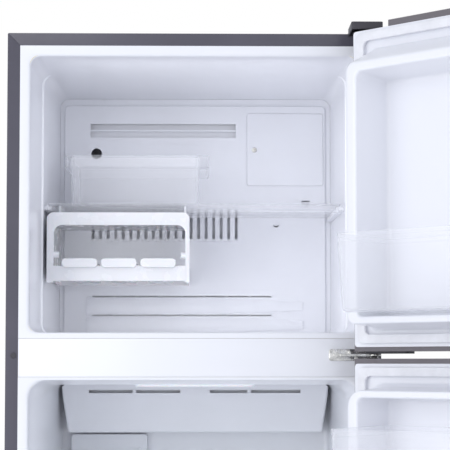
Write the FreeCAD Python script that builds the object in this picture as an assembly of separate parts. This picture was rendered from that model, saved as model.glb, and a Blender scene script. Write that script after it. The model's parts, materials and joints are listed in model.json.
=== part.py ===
import FreeCAD, Part
import math
import os

# A top freezer refrigerator, in millimetres. The origin is on the floor under the middle of the
# cabinet, +Z is up, the doors face -Y and their hinges are on the +X side. Both doors stand open.
# Door pieces are drawn on the closed door and then turned about the hinge line.

Vector = FreeCAD.Vector
Z_AXIS = Vector(0, 0, 1)

# Cabinet
HALF_W = 350.0
FRONT = -310.0
BACK = 310.0
CABINET_TOP = 1740.0
CABINET_BOTTOM = 25.0
SHEET = 1.0
LINER = 2.0
STEEL_FLANGE = 23.4
GAP = 0.2
MULLION = (1094.0, 1166.0)
CHANNEL_X = (-170.0, 170.0)

# Compartments: half widths at the mouth, at the step in the side wall and at the back, and heights
STEP_Y = -126.0
FREEZER = dict(mouth=307.0, step=305.6, rear=302.0, back=292.7, z=(1177.0, 1697.0), depth=238.0)
FRIDGE = dict(mouth=307.0, step=305.6, back=296.0, z=(98.0, 1077.0), mouth_top=1088.0, depth=225.0)
FREEZER_CORNER = 20.0
FRIDGE_CORNER = 34.0
FRIDGE_REAR_CORNER = 16.0

# Compressor bay at the bottom of the back, and the hump it makes in the refrigerator floor
BAY_FRONT = 118.0
BAY_TOP = 252.0
HUMP_FRONT = 78.0
HUMP_TOP = 290.0

# Doors, drawn closed
DOOR_FRONT = -377.0
DOOR_INNER = -322.0
CAP = 12.0
PLUG = 8.0
DYKE = 95.0
HINGE_X = 331.0
HINGE_Y = -359.0
DOOR_OPEN = 139.0
GRIP_OUTSIDE = ((-296.0, -124.0), (-375.0, -338.0))
GRIP_INSIDE = ((-292.0, -128.0), (-372.0, -342.0))
PIN_R = 4.0
BORE_R = 4.08
FREEZER_DOOR = dict(
    z=(1141.0, 1740.0),
    plate=(1149.0, 1728.0),
    foot=(1179.0, 1690.0),
    neck=(1183.0, 1686.0),
    crest=(1188.0, 1648.0),
    recess=(1201.0, 1631.0),
    corner=16.0,
)
FRIDGE_DOOR = dict(
    z=(45.0, 1128.0),
    plate=(55.0, 1119.0),
    foot=(96.0, 1084.0),
    neck=(104.0, 1078.0),
    crest=(112.0, 1073.0),
    recess=(130.0, 1060.0),
    corner=30.0,
)

# Freezer fittings
COVER_FRONT = 128.0
ACCESS_FRONT = 126.2
ACCESS_BACK = 129.2
ACCESS_X = (112.7, 278.7)
ACCESS_Z = (1506.4, 1664.7)
ACCESS_GAP = 0.9
RETURN_SLOT_Z = (1264.0, 1223.0)
SHELF_Z = 1435.0
SHELF_FRONT = -126.0
ICE_AXIS_Z = 1318.6
ICE_FRONT = -134.0
ICE_TRAY_X = (-228.0, -150.1, -72.2)

# Refrigerator fittings
GLASS = 4.0
GLASS_LEVELS = (905.0, 670.0, 432.0)
GLASS_FRONT = -108.0
GLASS_BACK = 190.0
GLASS_HALF = 290.0

# What stands on the floor
FOOT_X = 265.0
FOOT_Y = -280.0
ROLLER_X = 300.0
ROLLER_Y = 270.0
ROLLER_R = 18.0

parts = {}


# ---- Shared shapes ----


def block(x, y, z):
    """A box between three (low, high) pairs."""
    return Part.makeBox(x[1] - x[0], y[1] - y[0], z[1] - z[0], Vector(x[0], y[0], z[0]))


def rod(start, axis, length, radius):
    """A round bar from a point along an axis."""
    return Part.makeCylinder(radius, length, Vector(*start), Vector(*axis))


def frustum(near, far, y):
    """A solid between two upright rectangles (x low, x high, z low, z high), at y[0] and y[1]."""
    return Part.makeWedge(
        near[0], y[0], near[2], far[2], far[0], near[1], y[1], near[3], far[3], far[1]
    )


def rounded(shape, radius, axis, where=None):
    """Rounds the straight edges along an axis, or only those whose middle passes a test."""
    index = "xyz".index(axis)
    chosen = []
    for edge in shape.Edges:
        if len(edge.Vertexes) < 2:
            continue
        run = edge.Vertexes[1].Point - edge.Vertexes[0].Point
        along = abs(run[index]) > 0.7 * run.Length
        if along and (where is None or where(edge.CenterOfMass)):
            chosen.append(edge)
    return shape.makeFillet(radius, chosen)


def fused(shapes):
    """One solid from touching shapes, with the seams between level faces removed."""
    whole = shapes[0].multiFuse(shapes[1:])
    return whole.removeSplitter()


def mirrored(shape):
    """The same shape on the other side of the cabinet's middle."""
    return shape.mirror(Vector(0, 0, 0), Vector(1, 0, 0))


def prism(points, to_space, run):
    """A flat polygon, placed by to_space(a, b), pushed along a vector."""
    corners = [to_space(a, b) for a, b in points]
    return Part.Face(Part.makePolygon(corners + corners[:1])).extrude(Vector(*run))


def in_yz(x):
    """Places polygon points (y, z) in the upright plane across x."""
    return lambda y, z: Vector(x, y, z)


def in_xz(y):
    """Places polygon points (x, z) in the upright plane across y."""
    return lambda x, z: Vector(x, y, z)


def in_xy(z):
    """Places polygon points (x, y) in the level plane at z."""
    return lambda x, y: Vector(x, y, z)


def rounded_outline(rect, radius, y):
    """The outline of an upright rectangle (x low, x high, z low, z high) with round corners."""
    x_low, x_high, z_low, z_high = rect
    edges = []
    last = Vector(x_low + radius, y, z_low)
    for index in range(4):
        centre = Vector(
            x_high - radius if index in (0, 1) else x_low + radius,
            y,
            z_high - radius if index in (1, 2) else z_low + radius,
        )
        start, middle, end = [
            centre + Vector(math.cos(angle), 0, math.sin(angle)) * radius
            for angle in (math.radians(90 * index + turn) for turn in (-90, -45, 0))
        ]
        edges.append(Part.makeLine(last, start))
        edges.append(Part.Arc(start, middle, end).toShape())
        last = end
    return Part.Wire(edges)


def screw_head(centre, axis, radius=5.0, height=2.4):
    """A pan head with a cross recess, standing on a face along the axis."""
    head = Part.makeCylinder(radius, height)
    rim = [edge for edge in head.Edges if edge.CenterOfMass.z > height - 0.01]
    head = head.makeFillet(0.35 * height, rim)
    arm, width = 0.55 * radius, 0.16 * radius
    for half_x, half_y in ((arm, width), (width, arm)):
        head = head.cut(block((-half_x, half_x), (-half_y, half_y), (0.5 * height, height + 1)))
    head.Placement = FreeCAD.Placement(
        Vector(*centre), FreeCAD.Rotation(Z_AXIS, Vector(*axis))
    )
    return head


def swing_open(shape):
    """Turns a piece of the closed door about the hinge line to where the door stands."""
    turned = shape.copy()
    turned.rotate(Vector(HINGE_X, HINGE_Y, 0), Z_AXIS, DOOR_OPEN)
    return turned


def tray(x, y, z, wall, front=0.0, sides=0.0, corner=8.0):
    """An open-topped box whose front and sides lean out towards the rim by front and sides."""
    z_run = z[1] - z[0]

    def body(inset, floor, top):
        """The tray's outside, or with an inset its hollow."""
        lean = (floor - z[0]) / z_run
        low = (
            x[0] + sides * (1 - lean) + inset,
            x[1] - sides * (1 - lean) - inset,
            y[0] + front * (1 - lean) + inset,
            y[1] - inset,
        )
        rise = (top - z[0]) / z_run
        high = (
            x[0] + sides * (1 - rise) + inset,
            x[1] - sides * (1 - rise) - inset,
            y[0] + front * (1 - rise) + inset,
            y[1] - inset,
        )
        # The wedge is drawn lying along Y and stood up, which swaps its second and third axes.
        lying = frustum((low[0], low[1], -low[3], -low[2]), (high[0], high[1], -high[3], -high[2]),
                        (floor, top))
        lying = rounded(lying, max(corner - inset, 1.0), "y")
        lying.rotate(Vector(0, 0, 0), Vector(1, 0, 0), 90)
        return lying

    return body(0.0, z[0], z[1]).cut(body(wall, z[0] + wall, z[1] + 1.0))


# ---- Cabinet ----


def make_cabinet_shell():
    """Painted steel: two sides and the top, turned in around the front with mitred corners."""
    shell = block((-HALF_W, HALF_W), (FRONT, BACK), (CABINET_BOTTOM, CABINET_TOP))
    shell = rounded(shell, 2.5, "y", lambda c: c.z > CABINET_TOP - 1)
    inside = block(
        (-HALF_W + SHEET, HALF_W - SHEET),
        (FRONT + SHEET, BACK + 1),
        (CABINET_BOTTOM - 1, CABINET_TOP - SHEET),
    )
    inside = rounded(inside, 1.5, "y", lambda c: c.z > CABINET_TOP - 2)
    mouth_half = HALF_W - STEEL_FLANGE
    mouth = block(
        (-mouth_half, mouth_half),
        (FRONT - 1, FRONT + 2),
        (CABINET_BOTTOM - 1, CABINET_TOP - STEEL_FLANGE),
    )
    shell = shell.cut(inside).cut(mouth)
    outer, inner = HALF_W - 1.0, HALF_W - STEEL_FLANGE - 0.5
    seam = prism(
        [
            (-outer, CABINET_TOP - 1.6), (-outer + 0.6, CABINET_TOP - 1.0),
            (-inner + 0.6, CABINET_TOP - STEEL_FLANGE - 0.5), (-inner, CABINET_TOP - STEEL_FLANGE - 1.1),
        ],
        in_xz(FRONT - 1), (0, 1.5, 0),
    )
    parts["cabinet_shell"] = shell.cut(seam).cut(mirrored(seam))


def channel_outside(x):
    """The space of one stiffening channel, pressed inwards from the back sheet."""
    return block((x - 14, x + 14), (BACK - 5, BACK), (420, 1600))


def make_cabinet_back():
    """The steel back sheet, with two long pressed stiffening channels."""
    half = HALF_W - SHEET - GAP
    sheet = block((-half, half), (BACK - SHEET, BACK), (BAY_TOP + 1.2, CABINET_TOP - SHEET - GAP))
    for x in CHANNEL_X:
        inner = block((x - 13, x + 13), (BACK - 4, BACK + 1), (421, 1599))
        sheet = sheet.fuse(channel_outside(x)).cut(inner)
    parts["cabinet_back"] = sheet


def make_base_plate():
    """The steel floor of the cabinet with the front rail, compressor bay walls and roller ears."""
    half = HALF_W - SHEET - GAP
    floor_z = (CABINET_BOTTOM, CABINET_BOTTOM + 2)
    pieces = [
        block((-half, half), (FRONT + SHEET + GAP, BACK - 3), floor_z),
        block((-326.0, 326.0), (FRONT, FRONT + SHEET + GAP), (CABINET_BOTTOM, 75.0)),
        block((-326.0, 326.0), (FRONT, FRONT + 8), floor_z),
        block((-half, half), (BAY_FRONT, BAY_FRONT + 1), (CABINET_BOTTOM, BAY_TOP + 1)),
        block((-half, half), (BAY_FRONT, BACK - 1.2), (BAY_TOP, BAY_TOP + 1)),
    ]
    ears = []
    for side in (-1, 1):
        centre = side * ROLLER_X
        for x in (centre - 15.5, centre + 12.0):
            ears.append(block((x, x + 3.5), (ROLLER_Y - 9, ROLLER_Y + 9), (9.0, 40.0)))
    plate = fused(pieces + ears)
    for side in (-1, 1):
        centre = side * ROLLER_X
        window_y = (ROLLER_Y - 22, ROLLER_Y + 22)
        plate = plate.cut(block((centre - 12, centre + 12), window_y, (24, 28)))
        plate = plate.cut(rod((centre - 16, ROLLER_Y, ROLLER_R), (1, 0, 0), 32, BORE_R))
        plate = plate.cut(rod((side * FOOT_X, FOOT_Y, 20), (0, 0, 1), 12, 5.06))
    parts["base_plate"] = plate


def freezer_space(grow):
    """The freezer's room, grown on every side but the front."""
    z = (FREEZER["z"][0] - grow, FREEZER["z"][1] + grow)
    mouth = FREEZER["mouth"] + grow
    step = FREEZER["step"] + grow
    rear = FREEZER["rear"] + grow
    back = FREEZER["back"] + grow
    corner = FREEZER_CORNER + grow
    front_part = frustum((-mouth, mouth, *z), (-step, step, *z), (FRONT, STEP_Y + grow))
    rear_part = frustum((-rear, rear, *z), (-back, back, *z), (STEP_Y, FREEZER["depth"] + grow))
    return rounded(front_part, corner, "y").fuse(rounded(rear_part, corner, "y"))


def fridge_space(grow):
    """The refrigerator's room with the compressor hump left out, grown on every side but the front."""
    low = FRIDGE["z"][0] - grow
    top = FRIDGE["z"][1] + grow
    mouth_top = FRIDGE["mouth_top"] + grow
    mouth = FRIDGE["mouth"] + grow
    step = FRIDGE["step"] + grow
    back = FRIDGE["back"] + grow
    corner = FRIDGE_CORNER + grow
    rear_corner = FRIDGE_REAR_CORNER + grow
    front_part = frustum((-mouth, mouth, low, mouth_top), (-step, step, low, top), (FRONT, STEP_Y))
    rear_part = frustum(
        (-step, step, low, top), (-back, back, low, top), (STEP_Y, FRIDGE["depth"] + grow)
    )
    room = rounded(front_part, corner, "y").fuse(rounded(rear_part, rear_corner, "y"))
    hump = block((-400, 400), (HUMP_FRONT + grow, 400), (0, HUMP_TOP - grow))
    hump = rounded(hump, 14.0 - grow, "x", lambda c: c.y < 200 and c.z > 100)
    return room.cut(hump)


def side_rails(z_top, y, inner, space):
    """A ledge on each side wall, under a shelf."""
    rail = block((inner, 320), y, (z_top - 9.0, z_top))
    rail = rail.common(space)
    return [rail, mirrored(rail)]


def make_freezer_liner():
    """White thermoformed lining of the freezer, with its flange and shelf ledges."""
    flange_half = HALF_W - STEEL_FLANGE - GAP
    flange = block(
        (-flange_half, flange_half),
        (FRONT, FRONT + LINER),
        (MULLION[1] + GAP, CABINET_TOP - STEEL_FLANGE - GAP),
    )
    space = freezer_space(0.0)
    grown = freezer_space(LINER)
    liner = flange.fuse(grown).cut(space)
    ledges = side_rails(SHELF_Z - 0.3, (-116.0, 125.0), 286.0, grown)
    parts["freezer_liner"] = fused([liner] + ledges)


def make_fridge_liner():
    """White thermoformed lining of the refrigerator, with its flange and shelf ledges."""
    flange_half = HALF_W - STEEL_FLANGE - GAP
    flange = block((-flange_half, flange_half), (FRONT, FRONT + LINER), (75.2, MULLION[0] - GAP))
    grown = fridge_space(LINER)
    liner = flange.fuse(grown).cut(fridge_space(0.0))
    ledges = []
    for level in GLASS_LEVELS:
        ledges += side_rails(level - 0.3, (-98.0, 186.0), 284.0, grown)
    parts["fridge_liner"] = fused([liner] + ledges)


def make_mullion_cover():
    """The flat white plate across the front between the two compartments."""
    half = HALF_W - STEEL_FLANGE - GAP
    plate = block((-half, half), (FRONT, FRONT + 1.6), MULLION)
    parts["mullion_cover"] = rounded(plate, 1.0, "x", lambda c: c.y < FRONT + 0.1)


def make_insulation():
    """The foam that fills the walls between the steel and the linings."""
    half = HALF_W - SHEET
    foam = block((-half, half), (FRONT + LINER, BACK - SHEET), (CABINET_BOTTOM + 2, CABINET_TOP - SHEET))
    foam = rounded(foam, 1.5, "y", lambda c: c.z > CABINET_TOP - 2)
    foam = foam.cut(freezer_space(LINER)).cut(fridge_space(LINER))
    foam = foam.cut(block((-400, 400), (BAY_FRONT, 400), (0, BAY_TOP + 1)))
    for x in CHANNEL_X:
        foam = foam.cut(channel_outside(x))
    for side in (-1, 1):
        foam = foam.cut(rod((side * FOOT_X, FOOT_Y, 20), (0, 0, 1), 32, 8.0))
    parts["insulation_foam"] = foam


# ---- Hinges ----


def hinge_arm(z, root_left, root_y):
    """A level steel arm from its root on the cabinet to a round end about the hinge line."""
    end = rod((HINGE_X, HINGE_Y, z[0]), (0, 0, 1), z[1] - z[0], 12.0)
    points = [
        (root_left, root_y),
        (346.0, root_y),
        (HINGE_X + 12.0, HINGE_Y),
        (HINGE_X - 12.0, HINGE_Y),
    ]
    return prism(points, in_xy(z[0]), (0, 0, z[1] - z[0])).fuse(end)


def make_top_hinge():
    """The top bracket: a plate on the cabinet that steps down to an arm over the freezer door."""
    plate = rounded(block((302, 346), (-313, -240), (CABINET_TOP, 1743)), 6.0, "z",
                    lambda c: c.y > -300)
    step = block((305, 346), (-313, FRONT - GAP), (1731, 1743))
    pin = rod((HINGE_X, HINGE_Y, 1709), (0, 0, 1), 26, PIN_R)
    parts["top_hinge"] = fused([plate, step, hinge_arm((1731, 1734), 305.0, -312.0), pin])


def make_middle_hinge():
    """The bracket between the doors, with a pin up into one and a pin down into the other."""
    flange = rounded(block((252, 346), (-313, FRONT), (1124, 1146)), 5.0, "y")
    arm = hinge_arm((1132.5, 1136.5), 272.0, -312.0)
    pin = rod((HINGE_X, HINGE_Y, 1112), (0, 0, 1), 45, PIN_R)
    collar = rod((HINGE_X, HINGE_Y, 1128.6), (0, 0, 1), 11.8, 7.0)
    web = prism(
        [(-312, 1136.5), (-312, 1143), (-330, 1136.5)], in_yz(290), (3, 0, 0)
    )
    parts["middle_hinge"] = fused([flange, arm, pin, collar, web])


def make_bottom_hinge():
    """The bottom bracket under the cabinet floor, with a pin up into the refrigerator door."""
    z = (CABINET_BOTTOM - 3.5, CABINET_BOTTOM)
    plate = block((288, 346), (HINGE_Y, -250), z)
    end = rod((HINGE_X, HINGE_Y, z[0]), (0, 0, 1), 3.5, 15.0)
    pin = rod((HINGE_X, HINGE_Y, z[0]), (0, 0, 1), 61 - z[0], PIN_R)
    collar = rod((HINGE_X, HINGE_Y, z[1]), (0, 0, 1), 44.6 - z[1], 7.0)
    parts["bottom_hinge"] = fused([plate, end, pin, collar])


def make_hinge_cover():
    """The dark cap over the top hinge, which reaches forward over the door's hinge corner."""
    wall = 2.0
    rear = block((298, 349), (FRONT, -234), (CABINET_TOP, 1749))
    nose = block((291, 349), (-373, FRONT), (1735.2, 1749))
    foot = prism([(290, CABINET_TOP), (298, CABINET_TOP), (298, 1748)], in_xz(FRONT), (0, 76, 0))
    cover = rounded(fused([rear, nose, foot]), 4.0, "z", lambda c: c.y < -370)
    hollow_rear = block((298 + wall, 349 - wall), (FRONT - 20, -234 - wall), (CABINET_TOP - 1, 1749 - wall))
    hollow_nose = block((291 + wall, 349 - wall), (-373 + wall, FRONT - wall), (1735, 1749 - wall))
    arm_opening = block((303, 349 - wall), (-314, FRONT + 1), (1730, 1749 - wall))
    parts["top_hinge_cover"] = cover.cut(hollow_rear).cut(hollow_nose).cut(arm_opening)


def make_fixings():
    """The screws of the hinges and freezer panel, and the plug in the spare hinge hole."""
    screws = [
        screw_head((310, -258, 1743), (0, 0, 1), height=2.0),
        screw_head((336, -258, 1743), (0, 0, 1), height=2.0),
        screw_head((323, -288, 1743), (0, 0, 1), height=2.0),
        screw_head((265.6, -313, 1135), (0, -1, 0)),
        screw_head((303, -313, 1128.4), (0, -1, 0), radius=3.6, height=2.0),
        screw_head((318, -262, CABINET_BOTTOM - 3.5), (0, 0, -1)),
        screw_head((318, -292, CABINET_BOTTOM - 3.5), (0, 0, -1)),
        screw_head((128.7, ACCESS_FRONT, 1584.6), (0, -1, 0), radius=5.6, height=2.2),
    ]
    parts["screws"] = Part.makeCompound(screws)
    plug = rod((-335, FRONT, 1134), (0, -1, 0), 1.6, 5.4)
    rim = [edge for edge in plug.Edges if edge.CenterOfMass.y < FRONT - 1.5]
    parts["hinge_hole_plug"] = plug.makeFillet(0.9, rim)


# ---- Freezer back: cover, evaporator and fan ----


def slot(x, z, y, depth, radius=0.0):
    """The cutter for a slot in a plate across Y."""
    cutter = block(x, (y, y + depth), z)
    return rounded(cutter, radius, "y") if radius else cutter


def louvre_bulge(z):
    """A long shallow scoop that carries one of the lower air slots."""
    curve_r, rise = 60.0, 4.0
    core = rod((-236, COVER_FRONT - rise + curve_r, z - 22), (1, 0, 0), 470, curve_r)
    window = [(-236, z - 46), (234, z - 30), (234, z - 12), (-236, z + 3)]
    limits = prism(window, in_xz(COVER_FRONT - 10), (0, 11.5, 0))
    return core.common(limits)


def make_freezer_back_cover():
    """The white panel over the evaporator, with supply louvres, return slots and a fixing hole."""
    z = (FREEZER["z"][0] + 0.3, FREEZER["z"][1] - 0.3)
    base = rounded(block((-295, 295), (133, 136), z), FREEZER_CORNER, "y")
    raised_z = (z[0] + 4.7, 1682.0)
    raised = block((-285.5, 284.0), (COVER_FRONT, 133), raised_z)
    raised = rounded(raised, 10.0, "y", lambda c: c.z > 1600)
    raised = rounded(raised, 2.0, "z", lambda c: c.y < COVER_FRONT + 0.1)
    hollow = block((-282.5, 281.0), (COVER_FRONT + 3, 137), (raised_z[0] + 3, 1679.0))
    cover = fused([base, raised]).cut(hollow)
    for z_slot in RETURN_SLOT_Z:
        cover = cover.fuse(louvre_bulge(z_slot))
    cutters = [
        slot((-229, 88), (1628.7, 1641.8), 120, 12),
        slot((-229, 88), (1611.9, 1625.3), 120, 12),
    ]
    for index in range(20):
        x = -225.8 + 16.4 * index
        cutters.append(slot((x, x + 6.6), (1389.5, 1436.5), 120, 12, 3.2))
    cutters.append(slot((-232, 106), (1383.2, 1384.8), 120, 9.2))
    for index in range(4):
        low = 1452.0 + 6.2 * index
        cutters.append(slot((231.8, 249.7), (low, low + 3.2), 120, 12))
    for z_slot in RETURN_SLOT_Z:
        for index in range(8):
            x = -223.6 + 49.1 * index
            cutters.append(slot((x, x + 45.0), (z_slot - 1.6, z_slot + 1.6), 110, 22))
    cutters.append(rod((-215.7, 120, 1576.3), (0, 1, 0), 20, 11.6))
    moon = rod((176, 120, 1421), (0, 1, 0), 20, 6.0)
    cutters.append(moon.cut(rod((176, 119, 1424), (0, 1, 0), 22, 6.0)))
    rim_x = (ACCESS_X[0] - ACCESS_GAP, ACCESS_X[1] + ACCESS_GAP)
    rim_z = (ACCESS_Z[0] - ACCESS_GAP, ACCESS_Z[1] + ACCESS_GAP)
    cutters.append(slot(rim_x, rim_z, 120, 9.2, 5.8))
    for cutter in cutters:
        cover = cover.cut(cutter)
    parts["freezer_back_cover"] = cover


def make_access_cover():
    """The square cover on the freezer's back panel, held by one screw."""
    plate = block(ACCESS_X, (ACCESS_FRONT, ACCESS_BACK), ACCESS_Z)
    plate = rounded(plate, 5.0, "y")
    parts["freezer_access_cover"] = rounded(plate, 0.9, "x", lambda c: c.y < ACCESS_FRONT + 0.1)


def make_evaporator():
    """The finned aluminium coil behind the panel."""
    fins = [block((x, x + 1), (152, 212), (1200, 1360)) for x in range(-235, 236, 24)]
    tubes = []
    for y in (167.0, 197.0):
        for z in (1220.0, 1260.0, 1300.0, 1340.0):
            tubes.append(rod((-245, y, z), (1, 0, 0), 490, 4.5))
    parts["evaporator"] = fused(fins + tubes)


def make_fan():
    """The evaporator fan and the motor on its bracket."""
    x, z = -60.0, 1545.0
    motor = [
        rod((x, 200, z), (0, 1, 0), 28, 28.0),
        block((x - 60, x + 60), (226, 229), (z - 60, z + 60)),
        block((x - 58, x - 52), (226, 237.9), (z - 8, z + 8)),
        block((x + 52, x + 58), (226, 237.9), (z - 8, z + 8)),
        rod((x, 174, z), (0, 1, 0), 30, 3.0),
    ]
    parts["fan_motor"] = fused(motor)
    hub = rod((x, 176, z), (0, 1, 0), 20, 18.0)
    blades = []
    for index in range(5):
        blade = block((12, 52), (-10, 10), (-1, 1))
        blade = rounded(blade, 6.0, "z", lambda c: c.x > 40)
        blade.rotate(Vector(0, 0, 0), Vector(1, 0, 0), 32)
        blade.rotate(Vector(0, 0, 0), Vector(0, 1, 0), 72 * index)
        blade.translate(Vector(x, 186, z))
        blades.append(blade)
    fan = fused([hub] + blades)
    parts["evaporator_fan"] = fan.cut(rod((x, 170, z), (0, 1, 0), 40, 3.06))


# ---- Freezer shelf, ice storage tray and ice maker ----


def make_freezer_shelf():
    """The clear shelf with its deep front edge."""
    parts["freezer_shelf"] = rounded(
        block((-294, 294), (SHELF_FRONT + 6, 124), (SHELF_Z, SHELF_Z + GLASS)), 5.0, "z"
    )
    edge = block((-294.6, 294.6), (SHELF_FRONT, SHELF_FRONT + 6), (1421, SHELF_Z + GLASS))
    edge = rounded(edge, 2.0, "x")
    end = block((274, 284), (SHELF_FRONT + 6, SHELF_FRONT + 14), (1428, SHELF_Z - 1))
    parts["freezer_shelf_edge"] = fused([edge, end, mirrored(end)])


def make_ice_storage_tray():
    """The clear tray that stands on the shelf, with a deep turned-down rim."""
    x, y, z = (-263.0, 30.0), (-94.0, 100.0), (SHELF_Z + GLASS, 1541.0)
    body_x = (-253.5, 10.0)
    body = tray(body_x, (y[0] + 5, y[1] - 5), z, 2.4, front=8.0, sides=2.5, corner=14.0)
    rim = rounded(block(x, y, (1518, 1541)), 12.0, "z")
    inner = rounded(block((x[0] + 2.2, x[1] - 2.2), (y[0] + 2.2, y[1] - 2.2), (1517, 1539)), 10.0, "z")
    mouth = block((body_x[0] + 2.4, body_x[1] - 2.4), (y[0] + 7.4, y[1] - 7.4), (1530, 1542))
    mouth = rounded(mouth, 10.0, "z")
    parts["ice_storage_tray"] = fused([body, rim.cut(inner).cut(mouth)])


def make_ice_maker():
    """The white frame under the shelf and the three ice trays that twist in it."""
    x, y, z = (-294.0, -10.0), (ICE_FRONT, 96.0), (1280.0, 1420.0)
    hoop = rounded(block(x, (y[0], y[0] + 8), z), 13.0, "y", lambda c: c.z > 1400)
    opening = block((x[0] + 13.5, x[1] - 8.0), (y[0] - 1, y[0] + 9), (z[0] - 1, z[1] - 25))
    hoop = hoop.cut(rounded(opening, 17.0, "y", lambda c: c.z > 1300))
    side_left = block((x[0] + 3, x[0] + 6), (y[0] + 8, y[1]), (z[0] + 6, z[1] - 12))
    side_right = block((x[1] - 6, x[1] - 3), (y[0] + 8, y[1]), (z[0] + 6, z[1] - 12))
    roof = block((x[0] + 3, x[1] - 3), (y[0] + 8, y[1]), (z[1] - 15, z[1] - 12))
    hangers = [block((cx - 2, cx + 2), (y[0] + 20, y[1]), (z[1] - 14, SHELF_Z)) for cx in (-270, -19)]
    bar_x = (x[0] + 3, x[1] - 3)
    bar = rounded(block((x[0] + 13, x[1] - 8), (y[0] - 1, y[0] + 3), (1283, 1313.5)), 1.5, "x")
    rear_bar = block(bar_x, (y[1] - 4, y[1]), (1286, 1330))
    feet = []
    for cx in ICE_TRAY_X:
        feet.append(block((cx - 9, cx + 9), (y[0], y[0] + 3), (1300, 1327)))
    bosses = [
        rod((x[0] + 13, y[0] + 6, 1336), (1, 0, 0), 11, 6.0),
        rod((x[1] - 8, y[0] + 6, 1334), (-1, 0, 0), 9, 6.0),
    ]
    pads = [
        block((x[0] + 3, x[0] + 15), (y[0], y[0] + 8), (1283, 1313)),
        block((x[1] - 12, x[1] - 3), (y[0], y[0] + 8), (1283, 1313)),
    ]
    frame = fused([hoop, side_left, side_right, roof, bar, rear_bar] + hangers + feet + bosses + pads)
    for cx in ICE_TRAY_X:
        frame = frame.cut(rod((cx, y[0] - 2, ICE_AXIS_Z), (0, 1, 0), 8, BORE_R))
        frame = frame.cut(rod((cx, y[1] - 6, ICE_AXIS_Z), (0, 1, 0), 8, BORE_R))
    parts["ice_maker_frame"] = frame
    for index, cx in enumerate(ICE_TRAY_X):
        parts[f"ice_tray_{index + 1}"] = ice_tray(cx, y)


def ice_tray(cx, frame_y):
    """One twisting ice tray: two rows of cells, a shaft at each end and the lever in front."""
    y = (frame_y[0] + 12, frame_y[1] - 12)
    z = (1290.6, 1322.6)
    body = frustum((cx - 26, cx + 26, -y[1], -y[0]), (cx - 32, cx + 32, -y[1], -y[0]), z)
    body = rounded(body, 5.0, "y")
    body.rotate(Vector(0, 0, 0), Vector(1, 0, 0), 90)
    cell_run = (y[1] - y[0] - 6) / 6
    for row in (0, 1):
        for index in range(6):
            low = y[0] + 3 + index * cell_run
            cell_x = (cx - 23 + 24 * row, cx - 1 + 24 * row)
            cell = block(cell_x, (low + 1, low + cell_run - 1), (z[0] + 3, z[1] + 1))
            body = body.cut(rounded(cell, 4.0, "z"))
    collar = block((cx - 9, cx + 9), (y[0] - 4, y[0] + 2), (1305, 1322.6))
    collar_back = block((cx - 9, cx + 9), (y[1] - 2, y[1] + 4), (1305, 1322.6))
    shaft = rod((cx, frame_y[0] - 3, ICE_AXIS_Z), (0, 1, 0), 13, PIN_R)
    shaft_back = rod((cx, y[1], ICE_AXIS_Z), (0, 1, 0), frame_y[1] - y[1], PIN_R)
    lever = block((cx - 35.5, cx + 35.5), (frame_y[0] - 11, frame_y[0] - 2), (1309.4, 1327.8))
    lever = rounded(lever, 8.0, "y")
    rim = [edge for edge in lever.Edges if edge.CenterOfMass.y < frame_y[0] - 10.9]
    lever = lever.makeFillet(2.5, rim)
    return fused([body, collar, collar_back, shaft, shaft_back, lever])


# ---- Refrigerator fittings ----


def make_air_duct():
    """The tapered air duct across the top of the refrigerator's back, with two outlet slots."""
    front, back = 140.0, 223.0
    right = [(280, 1076.5), (290, 1067), (288, 1045), (276, 969)]
    outline = right + [(-x, z) for x, z in reversed(right)]
    body = prism(outline, in_xz(front), (0, back - front, 0))
    body = rounded(body, 6.0, "y", lambda c: c.z < 980)
    body = rounded(body, 5.0, "x", lambda c: c.y < front + 1 and c.z < 1000)
    right = [(284, 1062), (282, 1045), (271, 975)]
    pocket_outline = right + [(-x, z) for x, z in reversed(right)]
    body = body.cut(prism(pocket_outline, in_xz(front + 3), (0, back - front, 0)))
    for x in ((-231, -136), (-128, -33), (32, 113), (121, 229)):
        body = body.cut(slot(x, (1054.5, 1061.5), front - 2, 8))
    fins = []
    for x in (-132.0, 117.0):
        fins.append(block((x - 2, x + 2), (front - 1.5, front + 1), (1048, 1065)))
    parts["fridge_air_duct"] = fused([body] + fins)


def make_control_cover():
    """The thermostat cover on the refrigerator's back wall, and its turning knob."""
    cover = rounded(block((-274, -106), (196, 224.9), (800, 963)), 8.0, "y")
    cover = rounded(cover, 2.0, "x", lambda c: c.y < 197)
    cover = cover.cut(block((-271, -109), (199, 230), (803, 960)))
    stub = rod((-190, 189, 870), (0, 1, 0), 34, PIN_R)
    screw = rod((-123, 193.6, 928), (0, 1, 0), 3, 5.0)
    parts["fridge_control_cover"] = fused([cover, stub, screw])
    knob = rod((-190, 180, 870), (0, 1, 0), 15.5, 21.0)
    rim = [edge for edge in knob.Edges if edge.CenterOfMass.y < 181]
    knob = knob.makeFillet(3.0, rim)
    grip = rounded(block((-194, -186), (172, 182), (851, 889)), 3.0, "y")
    knob = fused([knob, grip])
    parts["temperature_knob"] = knob.cut(rod((-190, 188, 870), (0, 1, 0), 10, BORE_R))


def make_lamp():
    """The translucent lamp on the refrigerator's ceiling."""
    lamp = rounded(block((-118, 120), (-122, -42), (1073.0, 1077.0)), 10.0, "z")
    lamp = rounded(lamp, 1.5, "x", lambda c: c.z < 1073.5)
    parts["fridge_lamp_cover"] = lamp.cut(block((-108, 110), (-114, -50), (1075.5, 1080)))


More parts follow.
